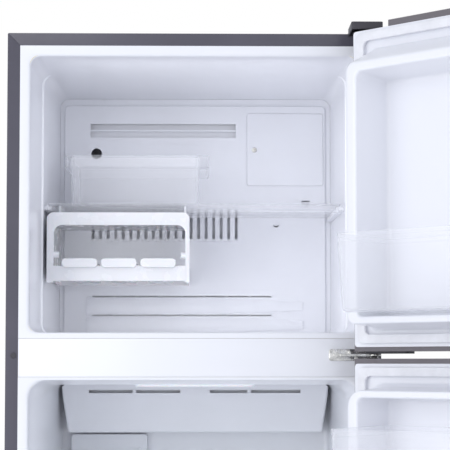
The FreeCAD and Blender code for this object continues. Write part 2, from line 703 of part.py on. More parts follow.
def glass_shelf(name, level):
    """A glass shelf and the moulded edge along its front."""
    glass = block((-GLASS_HALF, GLASS_HALF), (GLASS_FRONT, GLASS_BACK), (level, level + GLASS))
    parts[name] = rounded(glass, 4.0, "z")
    edge = block((-290.5, 290.5), (GLASS_FRONT - 6, GLASS_FRONT), (level - 10, level + 7))
    edge = rounded(edge, 2.4, "x", lambda c: c.y < GLASS_FRONT - 5)
    lip = block((-270, 270), (GLASS_FRONT, GLASS_FRONT + 10), (level - 3, level))
    parts[name + "_edge"] = fused([edge, lip])


def make_crisper():
    """The vegetable drawer under the lowest shelf."""
    x, y, z = (-281.0, 281.0), (-114.0, 66.0), (101.0, 414.0)
    body = tray(x, y, z, 3.0, front=6.0, sides=8.0, corner=16.0)
    grip = block((-95, 95), (-126, -111), (392, 414))
    grip = rounded(grip, 3.0, "x", lambda c: c.y < -125)
    grip = grip.cut(block((-92, 92), (-123, -114), (390, 409)))
    keep = block((-400, 400), (-200, y[0] + 2.0), (0, 500))
    rim = rounded(block((x[0] - 3, x[1] + 3), (y[0], y[1] + 3), (406, 414)), 14.0, "z")
    rim = rim.cut(rounded(block((x[0] + 2.9, x[1] - 2.9), (y[0] + 2.9, y[1] - 2.9), (400, 420)), 12.0, "z"))
    parts["crisper_drawer"] = fused([body, rim, grip.common(keep)])


# ---- Compressor bay ----


def make_compressor():
    """The compressor on four rubber mounts, and the pan above it that dries the melt water."""
    x, y = -170.0, 214.0
    can = rod((x, y, 46), (0, 0, 1), 150, 70.0)
    can = can.makeFillet(26.0, [edge for edge in can.Edges if len(edge.Vertexes) < 2])
    seam = rod((x, y, 118), (0, 0, 1), 5, 72.5)
    base = block((x - 115, x + 115), (y - 55, y + 55), (40, 44))
    stand = rod((x, y, 42), (0, 0, 1), 20, 42.0)
    terminal = rounded(block((x + 60, x + 98), (y - 28, y + 28), (80, 140)), 4.0, "x")
    parts["compressor"] = fused([can, seam, base, stand, terminal])
    mounts = []
    for dx in (-100, 100):
        for dy in (-42, 42):
            grommet = rod((x + dx, y + dy, 27), (0, 0, 1), 13, 11.0)
            mounts.append(grommet)
    parts["compressor_mounts"] = Part.makeCompound(mounts)
    parts["drip_pan"] = tray((x - 110, x + 110), (132, 296), (196, 226), 2.0, sides=6.0, corner=8.0)


def bent_pipe(points, radius, bend):
    """A round pipe through the points, with every corner bent to an arc."""
    edges = []
    start = Vector(*points[0])
    for index in range(1, len(points) - 1):
        corner = Vector(*points[index])
        before = (corner - Vector(*points[index - 1])).normalize()
        after = (Vector(*points[index + 1]) - corner).normalize()
        trim = bend * math.tan(before.getAngle(after) / 2)
        arc_start, arc_end = corner - before * trim, corner + after * trim
        inward = (after - before).normalize()
        middle = corner + inward * (math.hypot(bend, trim) - bend)
        edges.append(Part.makeLine(start, arc_start))
        edges.append(Part.Arc(arc_start, middle, arc_end).toShape())
        start = arc_end
    edges.append(Part.makeLine(start, Vector(*points[-1])))
    heading = Vector(*points[1]) - Vector(*points[0])
    profile = Part.Wire(Part.makeCircle(radius, Vector(*points[0]), heading))
    return Part.Wire(edges).makePipeShell([profile], True, True)


def make_pipework():
    """The filter drier and the copper pipe that joins it to the compressor."""
    drier = rod((70, 180, 90), (0, 0, 1), 90, 10.0)
    drier = drier.makeFillet(6.0, [edge for edge in drier.Edges if len(edge.Vertexes) < 2])
    clip = block((56, 84), (BAY_FRONT + 1, 176), (120, 132))
    route = [
        (-108, 214, 158), (-40, 214, 158), (-40, 214, 60),
        (70, 214, 60), (70, 180, 60), (70, 180, 236),
    ]
    parts["filter_drier"] = fused([drier, clip, bent_pipe(route, 3.2, 14.0)]).cut(parts["compressor"])


def make_rear_cover():
    """The vented cover over the compressor bay, and the gland where the mains lead leaves."""
    cover = block((-346, 346), (BACK - 2.4, BACK - 1.0), (30, BAY_TOP - 0.4))
    for centre in (-170.0, 120.0):
        for index in range(12):
            low = 70 + 13 * index
            cover = cover.cut(slot((centre - 70, centre + 70), (low, low + 5), BACK - 5, 6, 2.4))
    cover = cover.cut(rod((270, BACK - 5, 90), (0, 1, 0), 10, 9.0))
    parts["rear_cover"] = cover
    gland = rod((270, BACK - 12, 90), (0, 1, 0), 20, 8.9)
    flange = rod((270, BACK - 1.0, 90), (0, 1, 0), 3, 13.0)
    bore = rod((270, BACK - 13, 90), (0, 1, 0), 24, 4.0)
    parts["mains_gland"] = fused([gland, flange]).cut(bore)


def make_feet_and_rollers():
    """The two screw feet in front and the two rollers behind."""
    for side, name in ((-1, "left"), (1, "right")):
        x = side * FOOT_X
        pad = rod((x, FOOT_Y, 0), (0, 0, 1), 9, 19.0)
        pad = pad.makeFillet(2.0, [edge for edge in pad.Edges if edge.CenterOfMass.z > 8])
        stem = rod((x, FOOT_Y, 9), (0, 0, 1), 36, 5.0)
        parts[f"{name}_levelling_foot"] = fused([pad, stem])
        x = side * ROLLER_X
        wheel = rod((x - 10, ROLLER_Y, ROLLER_R), (1, 0, 0), 20, ROLLER_R)
        wheel = wheel.makeFillet(2.0, [edge for edge in wheel.Edges if len(edge.Vertexes) < 2])
        axle = rod((x - 15.5, ROLLER_Y, ROLLER_R), (1, 0, 0), 31, PIN_R)
        parts[f"{name}_roller"] = fused([wheel, axle])


# ---- Doors ----


def door_x(from_hinge):
    """The x of a place on the closed door, measured from its hinge edge."""
    return HALF_W - from_hinge


def door_rect(low_u, high_u, z):
    """A rectangle on the door, as x low, x high, z low, z high."""
    return (door_x(high_u), door_x(low_u), z[0], z[1])


def dyke_solid(door, inset):
    """The raised rim of the door lining, as a full block without its middle."""

    def section(low_u, high_u, z, y):
        """One outline of the rim, drawn in by the inset."""
        ends = (z[0] + inset, z[1] - inset)
        return rounded_outline(door_rect(low_u + inset, high_u - inset, ends), corner, y)

    corner = door["corner"] - inset
    outlines = [
        section(36, 664, door["foot"], DOOR_INNER - (LINER if inset else 0.0)),
        section(46, 654, door["neck"], DOOR_INNER + 14),
        section(50, 642, door["crest"], DOOR_INNER + DYKE - inset),
    ]
    return Part.makeLoft(outlines, True, True)


def recess_solid(door, grow):
    """The room inside the dyke, grown outwards by a wall."""
    low, high = door["recess"]
    floor = door_rect(76 - grow, 620 + grow, (low + 4 - grow, high - 4 + grow))
    mouth = door_rect(72 - grow, 624 + grow, (low - grow, high + grow))
    outlines = [
        rounded_outline(floor, 10.0 + grow, DOOR_INNER - (LINER + 1 if grow else 0.0)),
        rounded_outline(mouth, 10.0 + grow, DOOR_INNER + DYKE + 1),
    ]
    return Part.makeLoft(outlines, True, True)


def make_door_lining(prefix, door, ledge_levels):
    """The white lining with its dyke and bin ledges; returns the space the foam fills."""
    plate = rounded(block((-348.5, 348.5), (DOOR_INNER - LINER, DOOR_INNER), door["plate"]), 6.0, "y")
    dyke = dyke_solid(door, 0.0)
    hollow = dyke_solid(door, LINER).cut(recess_solid(door, LINER))
    lining = plate.fuse(dyke).cut(recess_solid(door, 0.0)).cut(hollow)
    ledges = []
    for level in ledge_levels:
        if level < door["recess"][0] + 20:
            continue
        for x in ((door_x(84), door_x(73)), (door_x(622), door_x(612))):
            ledges.append(block(x, (DOOR_INNER, DOOR_INNER + 80), (level - 6, level - 0.4)))
    ledges = [ledge.cut(hollow) for ledge in ledges]
    lining = fused([lining] + ledges)
    parts[prefix + "_liner"] = swing_open(lining)
    z = (door["z"][0] + CAP + PLUG, door["z"][1] - CAP - PLUG)
    core = block((-HALF_W + SHEET, HALF_W - SHEET), (DOOR_FRONT + SHEET, DOOR_INNER - LINER), z)
    return core.fuse(hollow)


def door_outline(x, y, z):
    """A block with the door's rounded front corners."""
    return rounded(block(x, y, z), 9.0, "z", lambda c: c.y < DOOR_FRONT + 5)


def make_door_skin(prefix, door):
    """The painted steel pan on the outside of the door."""
    z = (door["z"][0] + CAP, door["z"][1] - CAP)
    skin = door_outline((-HALF_W, HALF_W), (DOOR_FRONT, DOOR_INNER - LINER), z)
    inside = rounded(
        block((-HALF_W + SHEET, HALF_W - SHEET), (DOOR_FRONT + SHEET, 0), (z[0] - 1, z[1] + 1)),
        8.0, "z", lambda c: c.y < DOOR_FRONT + 5,
    )
    parts[prefix + "_skin"] = swing_open(skin.cut(inside))


def make_door_cap(door, at_top, hinge_recess, grip):
    """The moulded end cap, with its hinge bore and, at one end of each door, the finger grip."""
    edge = door["z"][1] if at_top else door["z"][0]
    inward = -1.0 if at_top else 1.0

    def span(near, far):
        """Heights measured inwards from the door's end, as (low, high)."""
        ends = (edge + inward * near, edge + inward * far)
        return (min(ends), max(ends))

    rim = door_outline((-HALF_W, HALF_W), (DOOR_FRONT, DOOR_INNER - LINER), span(0, CAP))
    plug_half = HALF_W - SHEET - GAP
    plug = rounded(
        block((-plug_half, plug_half), (DOOR_FRONT + 1.2, DOOR_INNER - LINER - GAP), span(CAP, CAP + PLUG)),
        8.0, "z", lambda c: c.y < DOOR_FRONT + 5,
    )
    boss = block((308, 345), (-372, -336), span(CAP, CAP + 24))
    cap = [rim, plug, boss]
    if grip:
        cap.append(block(*GRIP_OUTSIDE, span(CAP, CAP + 28)))
    cap = fused(cap)
    if hinge_recess:
        cap = cap.cut(block((door_x(77), 400), (-400, -300), span(-1, CAP)))
    if grip:
        pocket = block(*GRIP_INSIDE, span(-1, CAP + 24))
        cap = cap.cut(rounded(pocket, 6.0, "z"))
    deep = CAP + 22
    bore_z = span(-1, deep)
    return cap.cut(rod((HINGE_X, HINGE_Y, bore_z[0]), (0, 0, 1), bore_z[1] - bore_z[0], BORE_R))


def make_door_caps(prefix, door, grip_at_top, recess_at_top):
    """Both end caps; returns them as they lie on the closed door."""
    caps = [
        make_door_cap(door, True, recess_at_top, grip_at_top),
        make_door_cap(door, False, False, not grip_at_top),
    ]
    parts[prefix + "_end_caps"] = swing_open(Part.makeCompound(caps))
    return caps


def make_gasket(prefix, door):
    """The magnetic seal around the lining: a narrow foot and a wider lip."""
    def ring(inset, width, y):
        outer_z = (door["plate"][0] + inset, door["plate"][1] - inset)
        outer = rounded(block((-342 + inset, 342 - inset), y, outer_z), 10.0, "y")
        inner_z = (outer_z[0] + width, outer_z[1] - width)
        half = 342 - inset - width
        inner = rounded(block((-half, half), (y[0] - 1, y[1] + 1), inner_z), 4.0, "y")
        return outer.cut(inner)

    foot = ring(10.0, 11.0, (DOOR_INNER, DOOR_INNER + 4.5))
    lip = ring(6.5, 16.0, (DOOR_INNER + 4.5, DOOR_INNER + 11.3))
    parts[prefix + "_gasket"] = swing_open(fused([foot, lip]))


def door_bin(u, z, reach):
    """A clear balcony: its front leans out from reach[0] at the bottom to reach[1] at the rim."""
    x = (door_x(u[1]), door_x(u[0]))
    wall = 2.5
    y_back = DOOR_INNER + 4.0

    def body(inset, top):
        """The outside of the balcony, or with an inset its hollow."""
        slope = (reach[1] - reach[0]) / (z[1] - z[0])
        low_front = DOOR_INNER + reach[0] + slope * inset - inset
        high_front = DOOR_INNER + reach[1] + slope * (top - z[1]) - inset
        points = [
            (y_back + inset, z[0] + inset),
            (low_front, z[0] + inset),
            (high_front, top),
            (y_back + inset, top),
        ]
        solid = prism(points, in_yz(x[0] + inset), (x[1] - x[0] - 2 * inset, 0, 0))
        solid = rounded(solid, 12.0 - inset, "y", lambda c: c.z < z[0] + 10)
        return rounded(solid, 14.0 - inset, "z", lambda c: c.y > y_back + 20)

    return body(0.0, z[1]).cut(body(wall, z[1] + 1))


def make_door(prefix, door, grip_at_top, recess_at_top, bins):
    """A whole door; bins maps a part's name to its balconies as (u, z, reach)."""
    levels = [z[0] for group in bins.values() for _, z, _ in group]
    core = make_door_lining(prefix, door, levels)
    make_door_skin(prefix, door)
    for cap in make_door_caps(prefix, door, grip_at_top, recess_at_top):
        core = core.cut(solid_hull(cap))
    core = rounded_core(core)
    parts[prefix + "_foam"] = swing_open(core)
    make_gasket(prefix, door)
    for name, group in bins.items():
        shapes = [swing_open(door_bin(*item)) for item in group]
        parts[name] = shapes[0] if len(shapes) == 1 else Part.makeCompound(shapes)


def make_door_stop():
    """The dark stop plate under the freezer door's hinge corner, with a hole for the collar."""
    plate = block((door_x(100), door_x(8)), (-372, -342), (1137.0, FREEZER_DOOR["z"][0]))
    plate = rounded(plate, 5.0, "z")
    hole = rod((HINGE_X, HINGE_Y, 1130), (0, 0, 1), 20, 8.0)
    parts["freezer_door_stop"] = swing_open(plate.cut(hole))


def solid_hull(cap):
    """The space a cap takes, with its bore and pocket filled."""
    bounds = cap.BoundBox
    fill = [cap, rod((HINGE_X, HINGE_Y, bounds.ZMin), (0, 0, 1), bounds.ZLength, BORE_R + 2)]
    fill.append(block(*GRIP_OUTSIDE, (bounds.ZMin, bounds.ZMax)))
    return fill[0].fuse(fill[1]).fuse(fill[2])


def rounded_core(core):
    """The foam follows the rounded front corners of the skin."""
    limit = rounded(
        block((-HALF_W + SHEET, HALF_W - SHEET), (DOOR_FRONT + SHEET, 0), (0, 2000)),
        8.0, "z", lambda c: c.y < DOOR_FRONT + 5,
    )
    return core.common(limit)


# ---- Build ----

make_cabinet_shell()
make_cabinet_back()
make_base_plate()
make_freezer_liner()
make_fridge_liner()
make_mullion_cover()
make_insulation()
make_top_hinge()
make_middle_hinge()
make_bottom_hinge()
make_hinge_cover()
make_fixings()
make_freezer_back_cover()
make_access_cover()
make_evaporator()
make_fan()
make_freezer_shelf()
make_ice_storage_tray()
make_ice_maker()
make_air_duct()
make_control_cover()
make_lamp()
glass_shelf("upper_shelf", GLASS_LEVELS[0])
glass_shelf("middle_shelf", GLASS_LEVELS[1])
glass_shelf("crisper_cover", GLASS_LEVELS[2])
make_crisper()
make_compressor()
make_pipework()
make_rear_cover()
make_feet_and_rollers()
make_door(
    "freezer_door", FREEZER_DOOR, False, True,
    {"freezer_door_bin": [((78, 618), (1207, 1341), (154, 169))]},
)
make_door(
    "fridge_door", FRIDGE_DOOR, True, False,
    {
        "fridge_door_bins": [((78, 608), (905, 1010), (178, 190)), ((78, 608), (640, 745), (178, 190))],
        "fridge_bottle_bin": [((78, 608), (142, 330), (176, 190))],
    },
)
make_door_stop()

os.makedirs("parts", exist_ok=True)
for name, shape in parts.items():
    shape.exportStep(f"parts/{name}.step")
    solids = len(shape.Solids)
    print(f"{name}: {solids} solid(s), {shape.Volume / 1000:.1f} cm3, valid {shape.isValid()}")
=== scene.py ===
import bmesh
import bpy
import json
import math
from mathutils import Matrix, Vector


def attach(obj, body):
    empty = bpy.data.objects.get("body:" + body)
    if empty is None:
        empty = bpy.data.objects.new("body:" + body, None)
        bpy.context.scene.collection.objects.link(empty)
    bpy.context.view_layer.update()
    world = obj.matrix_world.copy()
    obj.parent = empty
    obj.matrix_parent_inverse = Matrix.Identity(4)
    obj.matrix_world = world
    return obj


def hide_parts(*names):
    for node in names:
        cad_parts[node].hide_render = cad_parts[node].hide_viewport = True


# A top freezer refrigerator with both doors open. Sizes are in millimetres in this script and
# become metres when a mesh is made. Door pieces are drawn on the closed door and then turned.

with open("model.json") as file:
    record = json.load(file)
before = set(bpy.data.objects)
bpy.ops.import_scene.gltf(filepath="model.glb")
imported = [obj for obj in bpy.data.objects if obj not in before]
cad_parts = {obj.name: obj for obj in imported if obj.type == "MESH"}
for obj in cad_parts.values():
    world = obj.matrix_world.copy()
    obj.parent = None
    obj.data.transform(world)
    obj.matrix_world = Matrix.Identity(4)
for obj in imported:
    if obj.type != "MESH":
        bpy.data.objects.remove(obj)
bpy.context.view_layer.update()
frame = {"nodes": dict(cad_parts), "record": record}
RECORD = frame["record"]
MM = 0.001

# Look: the world's strength as a light, how much shadow clear plastic keeps, and how many clear
# layers a ray goes through
AMBIENT = 0.80
CLEAR_SHADOW = 0.15
CLEAR_DEPTH = 24

# Cabinet, as in the frame
HALF_W = 350.0
FRONT = -310.0
STEEL_FLANGE = 23.4
CABINET_TOP = 1740.0
MULLION = (1094.0, 1166.0)
STEP_Y = -126.0
GAP = 0.2
LINER_HALF = HALF_W - STEEL_FLANGE - GAP
LINER_WALL = 2.0
FREEZER = dict(mouth=307.0, step=305.6, rear=302.0, back=292.7, z=(1177.0, 1697.0), depth=238.0)
FRIDGE = dict(mouth=307.0, step=305.6, back=296.0, z=(98.0, 1077.0), mouth_top=1088.0, depth=225.0)
HUMP_FRONT = 78.0
HUMP_TOP = 290.0
SHELF_Z = 1435.0
SHELF_GLASS = 4.0
RAIL_TOP = 0.3
RAIL_FOOT = 9.3
TRAY_TOP = 1541.0
GLASS_LEVELS = (905.0, 670.0, 432.0)

# Doors, drawn closed
DOOR_INNER = -322.0
DYKE = 95.0
HINGE = Vector((331.0, -359.0, 0.0))
DOOR_OPEN = 139.0
FREEZER_DOOR = dict(
    plate=(1149.0, 1728.0),
    foot=(1179.0, 1690.0),
    neck=(1183.0, 1686.0),
    crest=(1188.0, 1648.0),
    recess=(1201.0, 1631.0),
    corner=16.0,
)
FRIDGE_DOOR = dict(
    plate=(55.0, 1119.0),
    foot=(96.0, 1084.0),
    neck=(104.0, 1078.0),
    crest=(112.0, 1073.0),
    recess=(130.0, 1060.0),
    corner=30.0,
)


# ---- Shader helpers ----


class Shader:
    """A Principled material with procedural inputs."""

    def __init__(self, name):
        self.material = bpy.data.materials.new(name)
        self.material.use_nodes = True
        self.nodes = self.material.node_tree.nodes
        self.links = self.material.node_tree.links
        self.bsdf = self.nodes["Principled BSDF"]
        self.coords = self.nodes.new("ShaderNodeTexCoord").outputs["Object"]

    def fix(self, **values):
        """Sets constants on the shader's own sockets."""
        for name, value in values.items():
            self.bsdf.inputs[name.replace("_", " ")].default_value = value
        return self

    def noise(self, scale, detail=2.0, roughness=0.5, stretch=None):
        """A noise pattern; stretch squeezes it along axes, for brushed or drawn surfaces."""
        node = self.nodes.new("ShaderNodeTexNoise")
        node.inputs["Scale"].default_value = scale
        node.inputs["Detail"].default_value = detail
        node.inputs["Roughness"].default_value = roughness
        source = self.coords
        if stretch:
            mapping = self.nodes.new("ShaderNodeMapping")
            mapping.inputs["Scale"].default_value = stretch
            self.links.new(source, mapping.inputs["Vector"])
            source = mapping.outputs["Vector"]
        self.links.new(source, node.inputs["Vector"])
        return node.outputs["Fac"]

    def cells(self, scale):
        """A pattern of flat crystal cells, as a colour with a different value in each."""
        node = self.nodes.new("ShaderNodeTexVoronoi")
        node.inputs["Scale"].default_value = scale
        self.links.new(self.coords, node.inputs["Vector"])
        return node.outputs["Color"]

    def spread(self, pattern, low, high, start=0.35, end=0.65):
        """Maps a pattern onto a range of colours or values."""
        node = self.nodes.new("ShaderNodeMapRange" if isinstance(low, float) else "ShaderNodeValToRGB")
        if isinstance(low, float):
            node.inputs["From Min"].default_value = start
            node.inputs["From Max"].default_value = end
            node.inputs["To Min"].default_value = low
            node.inputs["To Max"].default_value = high
            self.links.new(pattern, node.inputs["Value"])
            return node.outputs["Result"]
        ramp = node.color_ramp.elements
        ramp[0].position, ramp[1].position = start, end
        ramp[0].color = (*low, 1.0)
        ramp[1].color = (*high, 1.0)
        self.links.new(pattern, node.inputs["Fac"])
        return node.outputs["Color"]

    def join(self, socket, target):
        """Connects a pattern to one of the shader's sockets."""
        self.links.new(socket, self.bsdf.inputs[target])
        return self

    def bump(self, pattern, strength, distance):
        """Raises the surface by a pattern, with the height in millimetres."""
        node = self.nodes.new("ShaderNodeBump")
        node.inputs["Strength"].default_value = strength
        node.inputs["Distance"].default_value = distance * MM
        self.links.new(pattern, node.inputs["Height"])
        self.links.new(node.outputs["Normal"], self.bsdf.inputs["Normal"])
        return self

    def edge_alpha(self, facing, edge):
        """Clear sheet: nearly invisible face on, whiter along its surface, with a faint shadow."""
        weight = self.nodes.new("ShaderNodeLayerWeight")
        weight.inputs["Blend"].default_value = 0.35
        cover = self.spread(weight.outputs["Facing"], facing, edge, 0.05, 1.0)
        light_path = self.nodes.new("ShaderNodeLightPath")
        passing = self.spread(light_path.outputs["Is Shadow Ray"], 1.0, CLEAR_SHADOW, 0.0, 1.0)
        product = self.nodes.new("ShaderNodeMath")
        product.operation = "MULTIPLY"
        self.links.new(cover, product.inputs[0])
        self.links.new(passing, product.inputs[1])
        self.join(product.outputs["Value"], "Alpha")
        self.material.surface_render_method = "BLENDED"
        return self


def shade(rgb, factor):
    """A colour made lighter or darker."""
    return tuple(min(1.0, channel * factor) for channel in rgb)


def painted(name, rgb, rough=0.38):
    """Baked enamel on sheet steel: a fine orange peel and a faint unevenness in gloss."""
    s = Shader(name).fix(Coat_Weight=0.25, Coat_Roughness=0.18)
    s.join(s.spread(s.noise(6.0, 3.0), shade(rgb, 0.94), shade(rgb, 1.06)), "Base Color")
    s.join(s.spread(s.noise(90.0), rough - 0.05, rough + 0.06), "Roughness")
    return s.bump(s.noise(620.0, 1.0), 0.25, 0.12).material


def moulded(name, rgb, rough, grain=1400.0, height=0.05, translucency=0.0):
    """Moulded or thermoformed plastic: very slightly uneven colour, gloss and surface."""
    s = Shader(name).fix(IOR=1.5, Subsurface_Weight=translucency, Subsurface_Scale=0.004)
    s.join(s.spread(s.noise(9.0, 4.0), shade(rgb, 0.975), shade(rgb, 1.0)), "Base Color")
    s.join(s.spread(s.noise(40.0, 3.0), max(rough - 0.04, 0.02), rough + 0.05), "Roughness")
    return s.bump(s.noise(grain, 2.0), 0.2, height).material


def formed_sheet(name, rgb):
    """Glossy vacuum-formed lining, with a very fine grain."""
    s = Shader(name).fix(IOR=1.5, Coat_Weight=0.15, Coat_Roughness=0.12)
    s.join(s.spread(s.noise(3.0, 2.0), shade(rgb, 0.985), shade(rgb, 1.0), 0.0, 1.0), "Base Color")
    s.join(s.spread(s.noise(9.0, 1.0), 0.27, 0.31, 0.0, 1.0), "Roughness")
    return s.bump(s.noise(1500.0, 1.0), 0.08, 0.02).material


def clear(name, rgb, facing, edge, rough=0.06):
    """Clear moulded plastic or glass with whiter edges."""
    s = Shader(name).fix(IOR=1.5, Specular_IOR_Level=0.9)
    s.join(s.spread(s.noise(12.0, 2.0), shade(rgb, 0.97), rgb), "Base Color")
    s.join(s.spread(s.noise(30.0), rough, rough + 0.06), "Roughness")
    return s.edge_alpha(facing, edge).bump(s.noise(500.0, 1.0), 0.06, 0.03).material


def galvanised(name, rgb):
    """Zinc-coated sheet with its spangle."""
    s = Shader(name).fix(Metallic=0.9)
    s.join(s.spread(s.cells(140.0), shade(rgb, 0.86), shade(rgb, 1.08), 0.1, 0.9), "Base Color")
    s.join(s.spread(s.cells(140.0), 0.34, 0.52, 0.0, 1.0), "Roughness")
    return s.bump(s.noise(500.0), 0.1, 0.05).material


def plated(name, rgb, rough=0.2):
    """Bright plated steel with drawn marks and slightly yellow patches."""
    s = Shader(name).fix(Metallic=1.0)
    s.join(s.spread(s.noise(70.0, 4.0), shade(rgb, 0.62), shade(rgb, 1.16)), "Base Color")
    s.join(s.spread(s.noise(160.0, 3.0, 0.6, (1.0, 6.0, 1.0)), rough - 0.06, rough + 0.14), "Roughness")
    return s.bump(s.noise(120.0, 3.0), 0.35, 0.35).material


def bare_metal(name, rgb, rough, stretch):
    """Bare drawn metal, streaked along its length."""
    s = Shader(name).fix(Metallic=1.0)
    pattern = s.noise(200.0, 3.0, 0.6, stretch)
    s.join(s.spread(pattern, shade(rgb, 0.85), shade(rgb, 1.05)), "Base Color")
    s.join(s.spread(pattern, rough - 0.05, rough + 0.1), "Roughness")
    return s.bump(pattern, 0.1, 0.05).material


def soft_rubber(name, rgb, rough):
    """Rubber or soft vinyl, matt with a fine tooth."""
    s = Shader(name).fix(IOR=1.48, Sheen_Weight=0.15)
    s.join(s.spread(s.noise(30.0, 4.0), shade(rgb, 0.93), shade(rgb, 1.03)), "Base Color")
    s.join(s.spread(s.noise(300.0), rough - 0.06, rough + 0.06), "Roughness")
    return s.bump(s.noise(1800.0), 0.3, 0.04).material


def foam_core(name, rgb):
    """Rigid foam with fine pores."""
    s = Shader(name).fix(Roughness=0.85)
    s.join(s.spread(s.noise(260.0, 5.0), shade(rgb, 0.8), rgb), "Base Color")
    return s.bump(s.noise(420.0, 4.0), 0.8, 0.8).material


MATERIALS = {
    "dark_paint": painted("dark_paint", (0.082, 0.078, 0.104)),
    "door_cap_grey": moulded("door_cap_grey", (0.165, 0.152, 0.165), 0.42),
    "dark_plastic": moulded("dark_plastic", (0.05, 0.047, 0.058), 0.45, 900.0, 0.1),
    "galvanised": galvanised("galvanised", (0.6, 0.62, 0.64)),
    "bright_zinc": plated("bright_zinc", (0.74, 0.73, 0.70)),
    "lining_white": formed_sheet("lining_white", (0.855, 0.865, 0.915)),
    "panel_white": moulded("panel_white", (0.84, 0.852, 0.905), 0.38, 1600.0, 0.02),
    "ice_white": moulded("ice_white", (0.75, 0.76, 0.795), 0.24, 700.0, 0.02, 0.1),
    "clear_plastic": clear("clear_plastic", (0.92, 0.93, 0.975), 0.08, 0.72),
    "shelf_glass": clear("shelf_glass", (0.80, 0.91, 0.90), 0.09, 0.7, 0.02),
    "shelf_edge": moulded("shelf_edge", (0.80, 0.82, 0.88), 0.3),
    "seal_white": soft_rubber("seal_white", (0.82, 0.825, 0.865), 0.5),
    "foam": foam_core("foam", (0.85, 0.74, 0.45)),
    "fin_aluminium": bare_metal("fin_aluminium", (0.80, 0.81, 0.83), 0.28, (1.0, 1.0, 0.1)),
    "black_enamel": painted("black_enamel", (0.012, 0.012, 0.013), 0.3),
    "black_rubber": soft_rubber("black_rubber", (0.018, 0.018, 0.02), 0.7),
    "copper_pipe": bare_metal("copper_pipe", (0.72, 0.33, 0.19), 0.3, (1.0, 1.0, 0.2)),
    "lamp_white": moulded("lamp_white", (0.90, 0.90, 0.92), 0.3, 300.0, 0.2, 0.3),
    "grey_plastic": moulded("grey_plastic", (0.27, 0.28, 0.30), 0.4),
}
SLOT_OF = {part["node"]: part["material_slot"] for part in RECORD["subparts"]}


def dress(obj, slot_name):
    """Gives a mesh the material of one of the record's slots."""
    obj.data.materials.clear()
    obj.data.materials.append(MATERIALS[slot_name])


for node_name, node in frame["nodes"].items():
    dress(node, SLOT_OF[node_name])


# ---- Mesh helpers ----


def piece(name, vertices, faces, body, slot_name, instead_of=(), smooth_angle=32.0):
    """A mesh object in metres that rides on a body and may stand for CAD nodes."""
    mesh = bpy.data.meshes.new(name)
    mesh.from_pydata([v * MM for v in vertices], [], faces)
    bm = bmesh.new()
    bm.from_mesh(mesh)
    bmesh.ops.remove_doubles(bm, verts=bm.verts, dist=1e-6)
    bmesh.ops.recalc_face_normals(bm, faces=bm.faces)
    bm.to_mesh(mesh)
    bm.free()
    mesh.shade_smooth()
    mesh.set_sharp_from_angle(angle=math.radians(smooth_angle))
    obj = bpy.data.objects.new(name, mesh)
    bpy.context.scene.collection.objects.link(obj)
    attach(obj, body)
    dress(obj, slot_name)
    if instead_of:
        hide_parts(*instead_of)
    return obj


def body_with(node):
    """The name of the body that holds a CAD node."""
    for body, members in RECORD["behaviour"]["bodies"].items():
        if node in members:
            return body
    raise ValueError(node)


def softened(node, width, angle=30.0, segments=2):
    """A copy of a CAD node with its sharp edges rounded, which stands for the node."""
    source = frame["nodes"][node].data
    mesh = source.copy()
    bm = bmesh.new()
    bm.from_mesh(mesh)
    bmesh.ops.remove_doubles(bm, verts=bm.verts, dist=2e-6)
    bmesh.ops.dissolve_limit(bm, angle_limit=math.radians(0.6), verts=bm.verts, edges=bm.edges)
    bm.to_mesh(mesh)
    bm.free()
    obj = bpy.data.objects.new(node + "_soft", mesh)
    bpy.context.scene.collection.objects.link(obj)
    bevel = obj.modifiers.new("edge", "BEVEL")
    bevel.width = width * MM
    bevel.segments = segments
    bevel.limit_method = "ANGLE"
    bevel.angle_limit = math.radians(angle)
    bevel.use_clamp_overlap = True
    bevel.miter_outer = "MITER_ARC"
    obj.data = baked(obj)
    obj.modifiers.clear()
    obj.data.shade_smooth()
    obj.data.set_sharp_from_angle(angle=math.radians(35.0))
    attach(obj, body_with(node))
    dress(obj, SLOT_OF[node])
    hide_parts(node)
    return obj


def baked(obj):
    """The object's mesh with its modifiers applied."""
    bpy.context.view_layer.update()
    evaluated = obj.evaluated_get(bpy.context.evaluated_depsgraph_get())
    return bpy.data.meshes.new_from_object(evaluated)


def outline(low_a, high_a, low_b, high_b, radius, steps=7):
    """Points (a, b) round a rectangle with round corners; radius is one value or one a corner.

    The corners are taken in the order low-low, high-low, high-high, low-high.
    """
    radii = radius if isinstance(radius, tuple) else (radius,) * 4
    corners = [(low_a, low_b), (high_a, low_b), (high_a, high_b), (low_a, high_b)]
    points = []
    for index, ((a, b), r) in enumerate(zip(corners, radii)):
        centre_a = a + r if index in (0, 3) else a - r
        centre_b = b + r if index in (0, 1) else b - r
        for step in range(steps + 1):
            angle = math.radians(180 + 90 * index + 90 * step / steps)
            points.append((centre_a + r * math.cos(angle), centre_b + r * math.sin(angle)))
    return points


def softly(stations, steps=4):
    """Rounds the bends of a run of stations; a station is (a0, a1, b0, b1, radius, depth, reach)."""
    out = [stations[0][:6]]
    for before, here, after in zip(stations, stations[1:], stations[2:]):
        reach = here[6] if len(here) > 6 else 0.0
        if not reach:
            out.append(here[:6])
            continue
        start = towards(here, before, reach)
        end = towards(here, after, reach)
        for step in range(steps + 1):
            t = step / steps
            out.append(tuple(
                (1 - t) ** 2 * a + 2 * t * (1 - t) * m + t * t * b
                for a, m, b in zip(start, here[:6], end)
            ))
    out.append(stations[-1][:6])
    return out


def towards(here, other, reach):
    """The station at a distance from one station on the way to another, at most half way."""
    span = max(abs(here[index] - other[index]) for index in (0, 1, 2, 3, 5))
    t = min(reach / span, 0.5) if span else 0.0
    return tuple(a + (b - a) * t for a, b in zip(here[:6], other[:6]))


